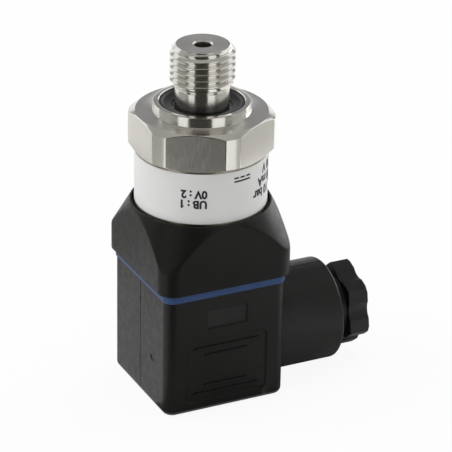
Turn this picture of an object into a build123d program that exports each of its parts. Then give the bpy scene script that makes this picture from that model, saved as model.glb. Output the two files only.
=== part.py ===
from build123d import *
import os

# Pressure transmitter with an angular cable plug, standing on the plug's cover.
# Millimetres. The port axis is Z, the cover lies on Z = 0 and the cable gland points along +X.

# Driving dimensions
PLUG_HALF = 13.4          # half width of the square plug
PLUG_CORNER = 2.3
PLUG_FOOT_ROUND = 1.2
PLUG_HEIGHT = 25.8
PLUG_WALL = 1.8
PLUG_FLOOR = 5.0
WIRING_SPACE = 9.0        # between the plug's floor and the contact block
PANEL_DEPTH = 0.3
PANEL_WIDE = 9.0          # small panel in the plug's front, and the frame below it
PANEL_TALL = 4.2
PANEL_LEVEL = 20.7
FRAME_WIDE = 18.2
FRAME_TALL = 14.0
FRAME_CORNER = 1.6
FRAME_LEVEL = 9.3
RIB_LONG = 14.6
RIB_SHORT = 9.6
RIB_WIDTH = 0.35
GASKET_PROUD = 0.2        # the gasket stands out past the plug, and the base past the gasket
GASKET_THICK = 2.0
BASE_PROUD = 1.0
BASE_CORNER = 3.6
BASE_HEIGHT = 13.7
BASE_FLOOR = 3.7
BASE_CONE_SLOPE = 0.577   # the cone widens 30 degrees from the axis
PAD_HEIGHT = 1.5
RIM_GAP = 0.65            # open ring between the case and the base's rim
RIM_GAP_DEPTH = 1.0
RIM_LAND = 0.35
CASE_R = 13.4
CASE_WALL = 0.8
CASE_SHOWN = 11.4
CASE_SUNK = 3.0
LABEL_THICK = 0.1
LABEL_MARGIN = 0.3
HEX_PROUD = 0.1           # the hexagon's flats stand out past the case, and its turned corners further
HEX_CORNER_PROUD = 1.35
HEX_HEIGHT = 8.0
HEX_TURN = 29.8           # how the hexagon happens to stand against the plug, degrees
SPIGOT_LENGTH = 1.6
COLLAR_WALL = 1.2
COLLAR_HEIGHT = 2.05
SEAL_R = 8.5
SEAL_WIDTH = 2.75
SEAL_LIP = 1.3            # width of the ring's raised outer part
NECK_R = 5.5
THREAD_R = 13.157 / 2     # G 1/4
THREAD_END_R = 5.35
THREAD_LEAD = 1.2
THREAD_LENGTH = 6.4
NECK_LENGTH = 6.4         # from the hexagon's face to the first full turn
PORT_R = 1.75
CELL_R = 5.95
CELL_HEIGHT = 4.8
CELL_MEMBRANE = 0.35
GLAND_THREAD_R = 8.0      # M16
BARREL_WALL = 2.8
BARREL_REACH = 15.2       # past the plug's face
BARREL_ROUND = 0.6
GLAND_DEPTH = 13.4        # of the threaded bore
CABLE_R = 4.8             # hole through the nut
GROMMET_LENGTH = 6.0
GROMMET_BORE_R = 4.2
GLAND_RING_LENGTH = 1.05
NUT_FLATS = 16.0
NUT_CORNER_R = 9.24
NUT_GAP = 2.7             # between the barrel and the nut's hexagon
NUT_HEX_LENGTH = 4.4
NUT_TURN = 19.7           # how the nut happens to be turned, degrees
FLUTE_WIDTH = 3.6
FLUTE_DEPTH = 0.55
BLADE_RING = 9.0          # each contact's distance from the axis
BLADE_WIDTH = 6.3
BLADE_THICK = 0.8
BLADE_TAIL = 3.0
BLADE_END_GAP = 0.7       # between each blade's end and the bottom of its slot
TERMINAL_WALL = 0.85
SCREW_R = 1.5             # M3
SCREW_HEAD_R = 2.75
SCREW_HEAD_HEIGHT = 2.0
SCREW_ENGAGED = 5.1
SCREW_SUNK = 1.0
SCREW_RING_THICK = 0.56
POST_WALL = 1.7           # of the post that the long screw passes through
BUSH_WALL = 1.0
HUB_WALL = 1.4
BUSH_LENGTH = 6.7
CLAMP_R = 1.2
CLAMP_THREAD = 2.5
CLAMP_HEAD_R = 2.1
CLAMP_HEAD_HEIGHT = 1.6
CLAMP_SLOT_DEPTH = 0.6
BOARD_THICK = 1.6
BOARD_WIDTH = 16.0
BOARD_HEIGHT = 12.0
BOARD_SLOT = 1.8
CHIP_SIZE = 4.0
CHIP_TALL = 4.5
CHIP_THICK = 1.2
TRIMMER_WIDE = 8.0
TRIMMER_TALL = 3.0
TRIMMER_THICK = 2.5
RUNNING = 0.05            # clearance of parts that turn, slide or seat
SEAT = 0.02
POCKET = 0.1              # clearance of contacts in their pockets

# Sizes and levels worked out from them
gasket_z = PLUG_HEIGHT
base_z = gasket_z + GASKET_THICK
case_z = base_z + BASE_HEIGHT
hex_z = case_z + CASE_SHOWN
hex_flats = 2 * (CASE_R + HEX_PROUD)
hex_corner_r = CASE_R + HEX_CORNER_PROUD
hex_end_r = CASE_R - RUNNING
top_z = hex_z + HEX_HEIGHT
collar_z = top_z + COLLAR_HEIGHT
thread_z = top_z + NECK_LENGTH
tip_z = thread_z + THREAD_LENGTH + THREAD_LEAD
gasket_half = PLUG_HALF + GASKET_PROUD
base_half = gasket_half + BASE_PROUD
cavity_half = PLUG_HALF - PLUG_WALL
window_half = cavity_half - 1.1
barrel_r = GLAND_THREAD_R + BARREL_WALL
barrel_z = barrel_r
barrel_x = PLUG_HALF + BARREL_REACH
insert_z = PLUG_FLOOR + WIRING_SPACE
insert_top = PLUG_HEIGHT - 1.2
pocket_z = insert_z + 1.0
terminal_z = pocket_z + POCKET
slot_z = terminal_z + CLAMP_THREAD
blade_z = slot_z + BLADE_END_GAP


def turned(*outline):
    """Piece turned about Z from half its section, given as (radius, height) corners."""
    return revolve(make_face(Plane.XZ * Polyline(*outline, close=True)), Axis.Z)


def rod(radius, low, high):
    return Pos(0, 0, low) * Cylinder(radius, high - low, align=(Align.CENTER, Align.CENTER, Align.MIN))


def tube(outer, inner, low, high):
    return rod(outer, low, high) - rod(inner, low, high)


def rod_x(radius, start, end):
    """Round bar on the gland's axis."""
    along = Pos(start, 0, barrel_z) * Rot(0, 90, 0)
    return along * Cylinder(radius, end - start, align=(Align.CENTER, Align.CENTER, Align.MIN))


def column(half, corner, low, high):
    """Square column with rounded corners."""
    return extrude(Pos(0, 0, low) * RectangleRounded(2 * half, 2 * half, corner), amount=high - low)


def block(x_size, y_size, low, high):
    return Pos(0, 0, low) * Box(x_size, y_size, high - low, align=(Align.CENTER, Align.CENTER, Align.MIN))


def at_contacts(shape):
    """The same shape at the four contact places, a quarter turn apart."""
    return [Rot(0, 0, turn) * Pos(BLADE_RING, 0, 0) * shape for turn in (0, 90, 180, 270)]


# Stainless fitting: hexagon, collar with a groove for the seal, neck, threaded stub and the pressure bore
hex_chamfer = (hex_corner_r - hex_end_r) * 0.577
spigot_r = CASE_R - CASE_WALL - RUNNING
spigot_z = hex_z - SPIGOT_LENGTH
collar_r = SEAL_R + POCKET + COLLAR_WALL
groove_z = top_z + 0.3
cell_pocket_r = CELL_R + RUNNING
cell_pocket_z = spigot_z + 1.2 + CELL_HEIGHT + POCKET
EDGE = 0.2

process_fitting = turned(
    (0, spigot_z),
    (spigot_r, spigot_z),
    (spigot_r, hex_z),
    (hex_end_r, hex_z),
    (hex_corner_r, hex_z + hex_chamfer),
    (hex_corner_r, top_z - hex_chamfer),
    (hex_end_r, top_z),
    (collar_r, top_z),
    (collar_r, collar_z - EDGE),
    (collar_r - EDGE, collar_z),
    (SEAL_R + POCKET, collar_z),
    (SEAL_R + POCKET, groove_z),
    (NECK_R, groove_z),
    (NECK_R, thread_z - 0.7),
    (THREAD_R, thread_z),
    (THREAD_R, thread_z + THREAD_LENGTH),
    (THREAD_END_R, tip_z),
    (0, tip_z),
)
hexagon = extrude(Pos(0, 0, hex_z) * RegularPolygon(hex_flats / 2, 6, major_radius=False), amount=HEX_HEIGHT)
process_fitting -= rod(hex_corner_r + 2, hex_z, top_z) - Rot(0, 0, HEX_TURN) * hexagon
process_fitting -= rod(PORT_R, cell_pocket_z, tip_z)
process_fitting -= turned((0, tip_z - 0.3), (PORT_R, tip_z - 0.3), (PORT_R + 0.3, tip_z), (0, tip_z))
process_fitting -= rod(cell_pocket_r, spigot_z, cell_pocket_z)

# Profile ring, with a raised lip at its outer edge
seal_inner_r = SEAL_R - SEAL_WIDTH
seal_ring = turned(
    (seal_inner_r, groove_z),
    (SEAL_R, groove_z),
    (SEAL_R, collar_z - 0.35),
    (SEAL_R - 0.3, collar_z - 0.1),
    (SEAL_R - 0.7 * SEAL_LIP, collar_z - 0.1),
    (SEAL_R - SEAL_LIP, collar_z - 0.6),
    (seal_inner_r + 0.4, collar_z - 0.6),
    (seal_inner_r, collar_z - 0.9),
)

# Measuring cell: a cup whose thin end is the membrane, open towards the pressure bore
cell_top = cell_pocket_z - SEAT
sensor_cell = rod(CELL_R, cell_top - CELL_HEIGHT, cell_top)
sensor_cell -= rod(2 * PORT_R, cell_top - CELL_HEIGHT + CELL_MEMBRANE, cell_top)

# Case tube and the label wrapped round it
tube_foot = case_z - CASE_SUNK
case_tube = tube(CASE_R, CASE_R - CASE_WALL, tube_foot, hex_z)
label_height = CASE_SHOWN - 2 * LABEL_MARGIN
label_place = Plane.XZ * Pos(CASE_R + LABEL_THICK / 2, (case_z + hex_z) / 2)
label_section = label_place * Rectangle(LABEL_THICK, label_height)
label = Rot(0, 0, 92) * revolve(label_section, Axis.Z, revolution_arc=356)

# Ring that seals the tube's foot in the base
SEAL_SECTION = 1.0
case_seal_z = tube_foot - RUNNING - SEAL_SECTION
case_seal = tube(CASE_R, CASE_R - SEAL_SECTION, case_seal_z, tube_foot - RUNNING)

# Black base: a square column cut by a cone, bored for the tube, with a square pad for the gasket's window
rim_r = CASE_R + RIM_GAP + RIM_LAND
cone = turned((0, base_z), (rim_r + BASE_HEIGHT * BASE_CONE_SLOPE, base_z), (rim_r, case_z), (0, case_z))
pad_z = base_z - PAD_HEIGHT
floor_z = base_z + BASE_FLOOR
bush_r = SCREW_R + BUSH_WALL
bush_top = pad_z + BUSH_LENGTH
hub_top = bush_top + 1.2 + BOARD_SLOT
connector_base = column(base_half, BASE_CORNER, base_z, case_z) & cone
connector_base += column(window_half - 4 * POCKET, 1.0, pad_z, base_z)
connector_base -= rod(CASE_R + RUNNING, case_seal_z - RUNNING, case_z)
connector_base -= rod(CASE_R + RIM_GAP, case_z - RIM_GAP_DEPTH, case_z)
connector_base -= rod(CASE_R - 1.5 * SEAL_SECTION, floor_z, tube_foot)
connector_base += rod(bush_r + HUB_WALL, floor_z, hub_top)
connector_base -= rod(bush_r, pad_z, bush_top)
connector_base -= block(BOARD_WIDTH, BOARD_THICK + POCKET, hub_top - BOARD_SLOT, hub_top)
blades = at_contacts(block(BLADE_THICK, BLADE_WIDTH, blade_z, floor_z + BLADE_TAIL))
for each in blades:
    connector_base -= each

screw_bush = rod(bush_r, pad_z, bush_top) - rod(SCREW_R + RUNNING, pad_z, bush_top - 0.6)

# Amplifier board, upright in the hub's slot, with its larger components
board_z = hub_top - BOARD_SLOT
circuit_board = block(BOARD_WIDTH, BOARD_THICK, board_z, board_z + BOARD_HEIGHT)
chip_y = -(BOARD_THICK + CHIP_THICK) / 2
trimmer_y = (BOARD_THICK + TRIMMER_THICK) / 2
chip = block(CHIP_SIZE, CHIP_THICK, 0, CHIP_TALL)
board_components = [
    Pos(-CHIP_SIZE, chip_y, board_z + CHIP_TALL / 2) * chip,
    Pos(CHIP_SIZE, chip_y, board_z + CHIP_TALL) * chip,
    Pos(0, trimmer_y, board_z + TRIMMER_TALL) * block(TRIMMER_WIDE, TRIMMER_THICK, 0, TRIMMER_TALL),
]

# Blue gasket
flat_gasket = column(gasket_half, PLUG_CORNER, gasket_z, base_z)
flat_gasket -= column(window_half, 1.0, gasket_z, base_z)

# Plug: a square cup with the gland barrel on one side and a sunk place for the screw's head in its cover
head_z = SCREW_SUNK + SCREW_HEAD_HEIGHT
recess_z = head_z + SCREW_RING_THICK + 2 * SEAT
recess_r = SCREW_HEAD_R + 0.85
screw_hole_r = SCREW_R + 0.2
gland_seat_x = barrel_x - GLAND_DEPTH
shell = column(PLUG_HALF, PLUG_CORNER, 0, PLUG_HEIGHT)
shell = fillet(shell.edges().filter_by_position(Axis.Z, -0.01, 0.01), PLUG_FOOT_ROUND)
barrel = rod_x(barrel_r, 0, barrel_x)
barrel = fillet(barrel.edges().filter_by_position(Axis.X, barrel_x - 0.01, barrel_x + 0.01), BARREL_ROUND)
plug_housing = shell + barrel
plug_housing -= column(cavity_half, 1.2, PLUG_FLOOR, PLUG_HEIGHT)
plug_housing += rod(screw_hole_r + POST_WALL, PLUG_FLOOR - 0.5, insert_z - RUNNING)
plug_housing -= rod(screw_hole_r, 0, insert_z)
plug_housing -= rod(recess_r, 0, recess_z)
plug_housing -= rod_x(GLAND_THREAD_R + RUNNING, gland_seat_x, barrel_x)
plug_housing -= rod_x(CABLE_R + 0.4, cavity_half - 0.2, gland_seat_x)


def face_panel(width, height, centre_z, corner):
    """Shallow panel in the front face of the plug."""
    place = Plane.XZ.offset(PLUG_HALF - PANEL_DEPTH) * Pos(0, centre_z)
    return extrude(place * RectangleRounded(width, height, corner), amount=PANEL_DEPTH)


plug_housing -= face_panel(PANEL_WIDE, PANEL_TALL, PANEL_LEVEL, PANEL_DEPTH)
plug_housing -= face_panel(FRAME_WIDE, FRAME_TALL, FRAME_LEVEL, FRAME_CORNER)
for end in (-1, 1):
    rib_level = FRAME_LEVEL + 0.37 * end * FRAME_TALL
    plug_housing += face_panel(RIB_LONG, RIB_WIDTH, rib_level, RIB_WIDTH / 4)
    plug_housing += face_panel(RIB_SHORT, RIB_WIDTH, rib_level - end * 5 * RIB_WIDTH, RIB_WIDTH / 4)

# Contact block, held in the plug above the wiring space, with a spring contact and its screw at each place
terminal_top = insert_top - 0.4
terminal_x = BLADE_THICK + 2 * POCKET / 2 + 2 * TERMINAL_WALL
terminal_y = BLADE_WIDTH + 2 * POCKET + 0.5
contact_insert = column(cavity_half - 2 * POCKET, 1.0, insert_z, insert_top)
contact_insert -= rod(SCREW_R + 0.6, insert_z, insert_top)
for pocket in at_contacts(block(terminal_x + 2 * POCKET, terminal_y + 2 * POCKET, pocket_z, insert_top)):
    contact_insert -= pocket
for hole in at_contacts(rod(CLAMP_R + 4 * POCKET, insert_z, pocket_z)):
    contact_insert -= hole

terminal = block(terminal_x, terminal_y, terminal_z, terminal_top)
terminal -= block(BLADE_THICK + POCKET, BLADE_WIDTH + 2 * POCKET, slot_z, terminal_top)
terminal -= rod(CLAMP_R + RUNNING, terminal_z, slot_z)
terminals = at_contacts(terminal)
clamp_head_z = insert_z - 0.2
clamp_foot_z = clamp_head_z - CLAMP_HEAD_HEIGHT
clamp_screw = rod(CLAMP_R, clamp_head_z, slot_z - 0.2) + rod(CLAMP_HEAD_R, clamp_foot_z, clamp_head_z)
clamp_screw -= block(0.5, 2.4 * CLAMP_HEAD_R, clamp_foot_z, clamp_foot_z + CLAMP_SLOT_DEPTH)
terminal_screws = at_contacts(clamp_screw)

# Long screw through the plug, and the ring under its head
screw_tip = pad_z + SCREW_ENGAGED
fixing_screw = turned(
    (0, SCREW_SUNK),
    (SCREW_HEAD_R - 0.25, SCREW_SUNK),
    (SCREW_HEAD_R, SCREW_SUNK + 0.25),
    (SCREW_HEAD_R, head_z),
    (SCREW_R, head_z),
    (SCREW_R, screw_tip - 0.4),
    (SCREW_R - 0.4, screw_tip),
    (0, screw_tip),
)
fixing_screw -= block(0.8, 2.4 * SCREW_HEAD_R, SCREW_SUNK, SCREW_SUNK + 1.1)
screw_ring = tube(recess_r - 0.5, SCREW_R + RUNNING, head_z + SEAT, head_z + SEAT + SCREW_RING_THICK)

# Gland: grommet, pressure ring and nut
packing_r = GLAND_THREAD_R - 0.4
grommet_end = gland_seat_x + GROMMET_LENGTH
ring_x = grommet_end + RUNNING
shank_x = ring_x + GLAND_RING_LENGTH + RUNNING
nut_x = barrel_x + NUT_GAP
nut_end = nut_x + NUT_HEX_LENGTH
gland_grommet = rod_x(packing_r, gland_seat_x, grommet_end) - rod_x(GROMMET_BORE_R, gland_seat_x, grommet_end)
gland_ring = rod_x(packing_r, ring_x, ring_x + GLAND_RING_LENGTH)
gland_ring -= rod_x(CABLE_R + 0.2, ring_x, ring_x + GLAND_RING_LENGTH)

flute_r = (FLUTE_WIDTH ** 2 / 4 + FLUTE_DEPTH ** 2) / (2 * FLUTE_DEPTH)
flute_out = NUT_FLATS / 2 - FLUTE_DEPTH + flute_r
nut_outline = RegularPolygon(NUT_FLATS / 2, 6, major_radius=False) & Circle(NUT_CORNER_R)
nut_head = extrude(Plane.YZ.offset(nut_x) * nut_outline, amount=NUT_HEX_LENGTH)
for side in range(6):
    cutter = Pos(nut_x, 0, 0) * Rot(0, 90, 0) * Rot(0, 0, 60 * side) * Pos(flute_out, 0, 0)
    nut_head -= cutter * Cylinder(flute_r, 3 * NUT_HEX_LENGTH)
nut_head = Pos(0, 0, barrel_z) * Rot(NUT_TURN, 0, 0) * nut_head
gland_nut = nut_head + rod_x(GLAND_THREAD_R, shank_x, nut_x) - rod_x(CABLE_R, shank_x, nut_end)

pieces = {
    "process_fitting": process_fitting,
    "seal_ring": seal_ring,
    "sensor_cell": sensor_cell,
    "case_tube": case_tube,
    "label": label,
    "circuit_board": circuit_board,
    "board_components": Compound(children=board_components),
    "case_seal": case_seal,
    "connector_base": connector_base,
    "blade_1": blades[0],
    "blade_2": blades[2],
    "blade_3": blades[1],
    "blade_earth": blades[3],
    "screw_bush": screw_bush,
    "flat_gasket": flat_gasket,
    "plug_housing": plug_housing,
    "contact_insert": contact_insert,
    "terminal_1": terminals[0],
    "terminal_2": terminals[2],
    "terminal_3": terminals[1],
    "terminal_earth": terminals[3],
    "terminal_screws": Compound(children=terminal_screws),
    "fixing_screw": fixing_screw,
    "screw_ring": screw_ring,
    "gland_grommet": gland_grommet,
    "gland_ring": gland_ring,
    "gland_nut": gland_nut,
}

os.makedirs("parts", exist_ok=True)
for name, shape in pieces.items():
    export_step(shape, f"parts/{name}.step")
    low, high = shape.bounding_box().min, shape.bounding_box().max
    print(f"{name:17s} solids {len(shape.solids())} volume {shape.volume:9.1f}"
          f"  x {low.X:6.2f} {high.X:6.2f}  y {low.Y:6.2f} {high.Y:6.2f}  z {low.Z:6.2f} {high.Z:6.2f}")
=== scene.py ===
import math

import bmesh
import bpy
from mathutils import Matrix, Vector


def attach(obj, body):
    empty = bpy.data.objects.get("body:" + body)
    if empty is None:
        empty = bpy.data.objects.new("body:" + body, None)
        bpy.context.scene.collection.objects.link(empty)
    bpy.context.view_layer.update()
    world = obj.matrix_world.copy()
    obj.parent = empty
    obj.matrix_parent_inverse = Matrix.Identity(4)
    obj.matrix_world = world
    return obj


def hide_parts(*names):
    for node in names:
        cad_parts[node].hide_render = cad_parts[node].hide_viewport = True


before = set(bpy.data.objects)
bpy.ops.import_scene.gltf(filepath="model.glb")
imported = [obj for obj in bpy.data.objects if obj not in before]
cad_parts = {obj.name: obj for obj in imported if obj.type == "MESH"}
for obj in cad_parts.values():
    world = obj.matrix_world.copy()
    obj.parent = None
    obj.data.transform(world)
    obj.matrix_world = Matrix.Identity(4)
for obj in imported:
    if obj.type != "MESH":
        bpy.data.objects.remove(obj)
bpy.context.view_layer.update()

# The studio: a pale floor, a white surround and three soft lamps, as for a catalogue picture. Cloths on the
# floor, screens and a ceiling in greys and black give the bare steel something to mirror. The camera is a
# long lens half a metre away, looking down on the corner between two sides of the plug.
MM = 0.001
FLOOR_GAP, CLOTH_HIGH = 0.00005, 0.001
LAMP_AIM = Vector((0, 0, 0.04))
bpy.context.scene.view_settings.view_transform = 'Standard'
CAMERA_PLACE = (-0.21062, -0.43954, 0.26754)
CAMERA_TURN, CAMERA_TILT, CAMERA_ROLL = math.radians(-26.22), math.radians(25.49), math.radians(1.09)

camera_data = bpy.data.cameras.new("catalogue_camera")
camera_data.lens = 211.28
camera_data.sensor_width = 36
camera_data.clip_start = 0.01
camera = bpy.data.objects.new("catalogue_camera", camera_data)
bpy.context.scene.collection.objects.link(camera)
bpy.context.scene.camera = camera
back = Vector((math.sin(CAMERA_TURN) * math.cos(CAMERA_TILT),
               -math.cos(CAMERA_TURN) * math.cos(CAMERA_TILT),
               math.sin(CAMERA_TILT)))
level = Vector((math.cos(CAMERA_TURN), math.sin(CAMERA_TURN), 0))
upright = back.cross(level)
right = math.cos(CAMERA_ROLL) * level + math.sin(CAMERA_ROLL) * upright
up = back.cross(right)
camera.matrix_world = Matrix((right, up, back)).transposed().to_4x4()
camera.location = CAMERA_PLACE


def card(name, corners, colour):
    """A studio card that only mirrors in the piece; the camera doesn't see it and it casts no shadow."""
    bpy.ops.object.select_all(action='DESELECT')
    bpy.ops.mesh.primitive_plane_add(size=1, location=(0, 0, 0))
    made = bpy.context.object
    made.name = name
    for corner, place in zip(made.data.vertices, corners):
        corner.co = place
    paint = bpy.data.materials.new(name + "_paint")
    paint.use_nodes = True
    shader = paint.node_tree.nodes["Principled BSDF"]
    shader.inputs["Base Color"].default_value = (*colour, 1)
    shader.inputs["Roughness"].default_value = 0.9
    made.data.materials.append(paint)
    made.visible_camera = False
    made.visible_shadow = False
    made.visible_diffuse = False
    return made


def round_about(azimuth, reach, height):
    """A point at an azimuth in degrees, a distance from the port's axis and a height, in metres."""
    return (reach * math.cos(math.radians(azimuth)), reach * math.sin(math.radians(azimuth)), height)


def white_where_seen(tree, shader_out, plain, strength):
    """Mixes plain light with even white for what the camera, mirrors and glass see of the surround."""
    nodes, links = tree.nodes, tree.links
    rays = nodes.new("ShaderNodeLightPath")
    seen = rays.outputs["Is Camera Ray"]
    for kind in ("Is Glossy Ray", "Is Transmission Ray"):
        either = nodes.new("ShaderNodeMath")
        either.operation = 'MAXIMUM'
        links.new(seen, either.inputs[0])
        links.new(rays.outputs[kind], either.inputs[1])
        seen = either.outputs[0]
    share = nodes.new("ShaderNodeMath")
    share.operation = 'MULTIPLY'
    share.inputs[1].default_value = strength
    links.new(seen, share.inputs[0])
    mix = nodes.new("ShaderNodeMixShader")
    links.new(share.outputs[0], mix.inputs[0])
    links.new(plain, mix.inputs[1])
    white = nodes.new("ShaderNodeEmission")
    white.inputs["Strength"].default_value = 1.0
    links.new(white.outputs[0], mix.inputs[2])
    links.new(mix.outputs[0], shader_out)


bpy.ops.object.select_all(action='DESELECT')
bpy.ops.mesh.primitive_plane_add(size=8, location=(0, 0, -FLOOR_GAP))
floor = bpy.context.object
floor.name = "floor"
floor_paint = bpy.data.materials.new("floor_paint")
floor_paint.use_nodes = True
floor_nodes = floor_paint.node_tree.nodes
floor_nodes.remove(floor_nodes["Principled BSDF"])
matt = floor_nodes.new("ShaderNodeBsdfDiffuse")
matt.inputs["Color"].default_value = (0.86, 0.86, 0.86, 1)
white_where_seen(floor_paint.node_tree, floor_nodes["Material Output"].inputs["Surface"],
                 matt.outputs[0], 0.92)
floor.data.materials.append(floor_paint)

surround = bpy.data.worlds.new("white_surround")
surround.use_nodes = True
bpy.context.scene.world = surround
surround_nodes = surround.node_tree.nodes
plain_light = surround_nodes["Background"]
plain_light.inputs["Color"].default_value = (1, 1, 1, 1)
plain_light.inputs["Strength"].default_value = 0.62
white_where_seen(surround.node_tree, surround_nodes["World Output"].inputs["Surface"],
                 plain_light.outputs[0], 1.0)


def lamp(name, place, size, power):
    """A soft lamp aimed at the sensor. It isn't mirrored in the piece, so it leaves no glare on the steel."""
    bpy.ops.object.light_add(type='AREA', location=place)
    made = bpy.context.object
    made.name = name
    made.data.shape = 'RECTANGLE'
    made.data.size, made.data.size_y = size
    made.data.energy = power
    made.rotation_euler = (LAMP_AIM - Vector(place)).to_track_quat('-Z', 'Y').to_euler()
    made.visible_camera = False
    made.visible_glossy = False
    return made


lamp("soft_lamp_left", (-0.68, 0.36, 0.55), (0.8, 0.6), 3.8)
lamp("soft_lamp_above", (0.25, 0.15, 0.95), (0.5, 0.5), 1.4)
lamp("soft_lamp_right", (0.70, 0.17, 0.12), (0.60, 0.40), 2.6)


def floor_wedge(name, start, end, near, far, colour):
    """A card on the floor, from one azimuth to another and between two distances."""
    return card(name, [round_about(start, near, CLOTH_HIGH), round_about(end, near, CLOTH_HIGH),
                       round_about(start, far, CLOTH_HIGH), round_about(end, far, CLOTH_HIGH)], colour)


def wall(name, start, end, reach, low, high, colour):
    """An upright card from one azimuth to another and between two heights."""
    return card(name, [round_about(start, reach, low), round_about(end, reach, low),
                       round_about(start, reach, high), round_about(end, reach, high)], colour)


NEARLY_BLACK = (0.034, 0.031, 0.025)
floor_wedge("dark_cloth_on_floor", -146, -92, 0.045, 0.62, NEARLY_BLACK)
wall("dark_room_in_front", -146, -92, 0.62, 0, 1.2, NEARLY_BLACK)
floor_wedge("grey_cloth_at_the_foot", -150, -58, 0.014, 0.11, (0.42, 0.42, 0.40))
floor_wedge("grey_cloth_under_barrel", -56, 60, 0.014, 0.075, (0.58, 0.58, 0.57))
floor_wedge("pale_cloth_behind_left", 95, 140, 0.072, 0.112, (0.55, 0.55, 0.54))
floor_wedge("pale_cloth_left", -227, -173, 0.07, 0.144, (0.52, 0.52, 0.49))
floor_wedge("grey_cloth_left", -229, -173, 0.144, 0.50, (0.33, 0.33, 0.31))
wall("low_screen_left", -226, -173, 0.50, 0, 0.14, (0.34, 0.34, 0.32))
wall("tall_screen_left", -188, -170, 0.52, 0, 0.60, NEARLY_BLACK)
floor_wedge("grey_cloth_right", -62, 8, 0.11, 0.40, (0.46, 0.46, 0.44))
wall("low_screen_right", -60, 4, 0.40, 0, 0.11, (0.34, 0.34, 0.32))
wall("tall_screen_right", -62, -44, 0.42, 0, 0.50, NEARLY_BLACK)
wall("grey_wall_behind", 28, 100, 0.85, 0.24, 2.4, (0.27, 0.27, 0.28))
card("grey_ceiling", [(-1.4, -1.4, 1.3), (1.4, -1.4, 1.3), (-1.4, 1.4, 1.3), (1.4, 1.4, 1.3)],
     (0.58, 0.57, 0.55))
bright_strip = wall("bright_strip_right", 2, 40, 0.50, 0, 0.10, (1, 1, 1))
bright_shader = bright_strip.data.materials[0].node_tree.nodes["Principled BSDF"]
bright_shader.inputs["Emission Color"].default_value = (1, 1, 1, 1)
bright_shader.inputs["Emission Strength"].default_value = 3.0

# Pressure fitting, turned from stainless bar: threaded stub, neck, collar for the seal, and the hexagon
# milled on the turned blank. A G 1/4 thread is cut on the stub, and the pressure bore is drilled down it.
HEX_LOW, HEX_TOP = 52.9, 60.9
HEX_HALF, HEX_CORNER, HEX_END, HEX_CHAMFER = 13.5, 14.745, 13.35, 0.808
HEX_FLAT_TURN = -120.2
SPIGOT_R, SPIGOT_LOW = 12.5, 51.3
COLLAR_R, COLLAR_TOP = 9.8, 62.95
GROOVE_R, GROOVE_FLOOR = 8.6, HEX_TOP + 0.3
NECK_R, NECK_TOP = 5.5, 66.6
NECK_GROOVE_R = NECK_R - 0.4
THREAD_R, THREAD_ROOT, THREAD_PITCH = 6.5785, 5.7225, 1.337
THREAD_LOW, THREAD_HIGH, STUB_END, STUB_END_R = 67.3, 73.7, 74.9, 5.35
THREAD_START = NECK_TOP - 1.6
BORE_R, BORE_LOW, BORE_BEVEL = 1.75, 57.5, 0.3


def take(piece):
    """Makes a piece the only one selected, and the active one."""
    bpy.ops.object.select_all(action='DESELECT')
    piece.select_set(True)
    bpy.context.view_layer.objects.active = piece


def pick(piece, kind, wanted):
    """Selects the faces or edges of a piece in edit mode by their middle, in millimetres, and direction."""
    bpy.ops.mesh.select_mode(type=kind)
    bpy.ops.mesh.select_all(action='DESELECT')
    mesh = bmesh.from_edit_mesh(piece.data)
    if kind == 'FACE':
        for face in mesh.faces:
            face.select_set(bool(wanted(face.calc_center_median() / MM, face.normal)))
    else:
        for edge in mesh.edges:
            a, b = (corner.co for corner in edge.verts)
            edge.select_set(bool(wanted((a + b) / 2 / MM, (b - a).normalized())))
    bmesh.update_edit_mesh(piece.data)


def draw(name, spots):
    """Starts a piece as a line through points in metres, and leaves it selected in edit mode."""
    bpy.ops.object.select_all(action='DESELECT')
    bpy.ops.mesh.primitive_plane_add(size=MM, location=(0, 0, 0))
    piece = bpy.context.object
    piece.name = name
    bpy.ops.object.mode_set(mode='EDIT')
    bpy.ops.mesh.select_mode(type='VERT')
    bpy.ops.mesh.select_all(action='SELECT')
    bpy.ops.mesh.merge(type='CENTER')
    bpy.ops.transform.translate(value=spots[0])
    for last, spot in zip(spots, spots[1:]):
        bpy.ops.mesh.extrude_region_move(TRANSFORM_OT_translate={"value": spot - last})
    bpy.ops.mesh.select_all(action='SELECT')
    return piece


def turn(name, outline, steps, along='Z', height=0.0):
    """Turns a half section, given as (radius, place along the axis), as on a lathe.
    The axis is the port's, or with along='X' a line in the gland's direction at the given height."""
    if along == 'Z':
        spots = [Vector((radius, 0, place)) * MM for radius, place in outline]
    else:
        spots = [Vector((place, 0, height + radius)) * MM for radius, place in outline]
    piece = draw(name, spots)
    bpy.ops.mesh.spin(steps=steps, angle=2 * math.pi, center=(0, 0, height * MM),
                      axis=(0, 0, 1) if along == 'Z' else (1, 0, 0))
    bpy.ops.mesh.select_all(action='SELECT')
    bpy.ops.mesh.remove_doubles(threshold=0.002 * MM)
    bpy.ops.mesh.normals_make_consistent(inside=False)
    bpy.ops.object.mode_set(mode='OBJECT')
    return piece


def mill(piece, normals, reach, centre=(0, 0, 0)):
    """Takes off what stands past a plane at each normal, as a milling cutter does, and closes the flat."""
    take(piece)
    bpy.ops.object.mode_set(mode='EDIT')
    for normal, distance in zip(normals, reach):
        bpy.ops.mesh.select_all(action='SELECT')
        bpy.ops.mesh.bisect(plane_co=(Vector(centre) + normal * distance) * MM, plane_no=normal,
                            use_fill=True, clear_outer=True, threshold=0.0005 * MM)
    bpy.ops.mesh.select_all(action='DESELECT')
    bpy.ops.object.mode_set(mode='OBJECT')


def apply(piece, kind, **settings):
    """Adds a modifier to a piece and applies it."""
    take(piece)
    tool = piece.modifiers.new(kind.lower(), kind)
    for key, value in settings.items():
        setattr(tool, key, value)
    bpy.ops.object.modifier_apply(modifier=tool.name)


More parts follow.
